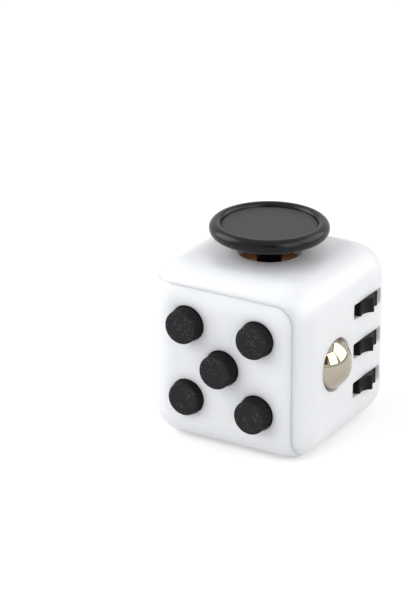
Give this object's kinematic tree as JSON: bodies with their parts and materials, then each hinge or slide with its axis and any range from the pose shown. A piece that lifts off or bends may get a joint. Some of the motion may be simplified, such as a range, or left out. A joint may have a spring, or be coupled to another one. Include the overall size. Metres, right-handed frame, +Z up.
{
  "type": "fidget cube",
  "caption": "Palm-sized white cube for idle hands: press buttons, gliding thumb disc, gear wheels, rolling ball, rocker switch, dial and thumb hollow.",
  "frame": {"origin": "middle of the flat underside that the cube rests on", "axes": "+Z up out of the gliding disc's face, -Y out of the button face, +X out of the gear and ball face, -X out of the dial face, +Y out of the rocker face"},
  "size_m": [0.0371, 0.0385, 0.0386],
  "materials": {
    "shell_white": "satin moulded white ABS",
    "button_black": "matte soft-touch black with a fine grain",
    "disc_black": "semi-gloss black rim, matte dish",
    "gear_black": "moulded black",
    "rocker_black": "satin moulded black",
    "frame_grey": "plain moulded",
    "steel": "zinc plated",
    "bronze": "rolled phosphor bronze",
    "ball_chrome": "mirror polished"
  },
  "bodies": {
    "shell": {"front_shell": "shell_white", "rear_shell": "shell_white", "button_plate": "frame_grey", "click_domes": "steel", "glide_retainer": "frame_grey", "glide_x_springs": "bronze", "ball_holder": "frame_grey", "ball_spring": "steel", "gear_axle": "steel", "axle_spacers": "frame_grey", "gear_bracket": "frame_grey", "rocker_pin": "steel", "rocker_bracket": "frame_grey", "module_screws": "steel", "spring_top_left": "steel", "spring_top_right": "steel", "spring_centre": "steel", "spring_bottom_left": "steel", "spring_bottom_right": "steel"},
    "button_top_left": {"button_top_left": "button_black"},
    "button_top_right": {"button_top_right": "button_black"},
    "button_centre": {"button_centre": "button_black"},
    "button_bottom_left": {"button_bottom_left": "button_black"},
    "button_bottom_right": {"button_bottom_right": "button_black"},
    "cross_slide": {"cross_slider": "frame_grey", "glide_y_springs": "bronze"},
    "glide": {"glide_disc": "disc_black", "glide_washer": "bronze", "glide_slider": "button_black", "glide_screw": "steel"},
    "ball_cup": {"ball_cup": "frame_grey"},
    "ball": {"steel_ball": "ball_chrome"},
    "gear_top": {"gear_top": "gear_black"},
    "gear_middle": {"gear_middle": "gear_black"},
    "gear_bottom": {"gear_bottom": "gear_black"},
    "rocker": {"rocker": "rocker_black", "rocker_ball": "steel", "rocker_spring": "steel"},
    "dial": {"dial": "rocker_black", "dial_washer": "steel", "dial_screw": "steel"}
  },
  "joints": [
    {"name": "press_top_left", "type": "slide", "parent": "shell", "child": "button_top_left", "axis": [0, 1, 0], "range_m": [0, 0.0009], "stiffness_N_per_m": 800, "springref_m": -0.0005, "deforming": ["spring_top_left"]},
    {"name": "press_top_right", "type": "slide", "parent": "shell", "child": "button_top_right", "axis": [0, 1, 0], "range_m": [0, 0.0009], "stiffness_N_per_m": 800, "springref_m": -0.0005, "deforming": ["spring_top_right"]},
    {"name": "press_centre", "type": "slide", "parent": "shell", "child": "button_centre", "axis": [0, 1, 0], "range_m": [0, 0.0009], "stiffness_N_per_m": 800, "springref_m": -0.0005, "deforming": ["spring_centre"]},
    {"name": "press_bottom_left", "type": "slide", "parent": "shell", "child": "button_bottom_left", "axis": [0, 1, 0], "range_m": [0, 0.0009], "stiffness_N_per_m": 800, "springref_m": -0.0005, "deforming": ["spring_bottom_left"]},
    {"name": "press_bottom_right", "type": "slide", "parent": "shell", "child": "button_bottom_right", "axis": [0, 1, 0], "range_m": [0, 0.0009], "stiffness_N_per_m": 800, "springref_m": -0.0005, "deforming": ["spring_bottom_right"]},
    {"name": "glide_x", "type": "slide", "parent": "shell", "child": "cross_slide", "axis": [1, 0, 0], "range_m": [-0.002, 0.002], "stiffness_N_per_m": 250, "deforming": ["glide_x_springs"]},
    {"name": "glide_y", "type": "slide", "parent": "cross_slide", "child": "glide", "axis": [0, 1, 0], "range_m": [-0.002, 0.002], "stiffness_N_per_m": 250, "deforming": ["glide_y_springs"]},
    {"name": "ball_press", "type": "slide", "parent": "shell", "child": "ball_cup", "axis": [-1, 0, 0], "range_m": [0, 0.0008], "stiffness_N_per_m": 1200, "springref_m": -0.0004, "deforming": ["ball_spring"]},
    {"name": "ball_roll", "type": "hinge", "parent": "ball_cup", "child": "ball", "pos_m": [0.01398, -0.005, 0.0165], "axis": [0, 1, 0], "continuous": true},
    {"name": "gear_top_spin", "type": "hinge", "parent": "shell", "child": "gear_top", "pos_m": [0.0125, 0.00645, 0.024], "axis": [0, 0, 1], "continuous": true},
    {"name": "gear_middle_spin", "type": "hinge", "parent": "shell", "child": "gear_middle", "pos_m": [0.0125, 0.00645, 0.0165], "axis": [0, 0, 1], "continuous": true},
    {"name": "gear_bottom_spin", "type": "hinge", "parent": "shell", "child": "gear_bottom", "pos_m": [0.0125, 0.00645, 0.009], "axis": [0, 0, 1], "continuous": true},
    {"name": "rocker_flip", "type": "hinge", "parent": "shell", "child": "rocker", "pos_m": [0, 0.0134, 0.0165], "axis": [-1, 0, 0], "range_deg": [0, 18]},
    {"name": "dial_spin", "type": "hinge", "parent": "shell", "child": "dial", "pos_m": [-0.0165, 0, 0.0165], "axis": [-1, 0, 0], "continuous": true}
  ]
}
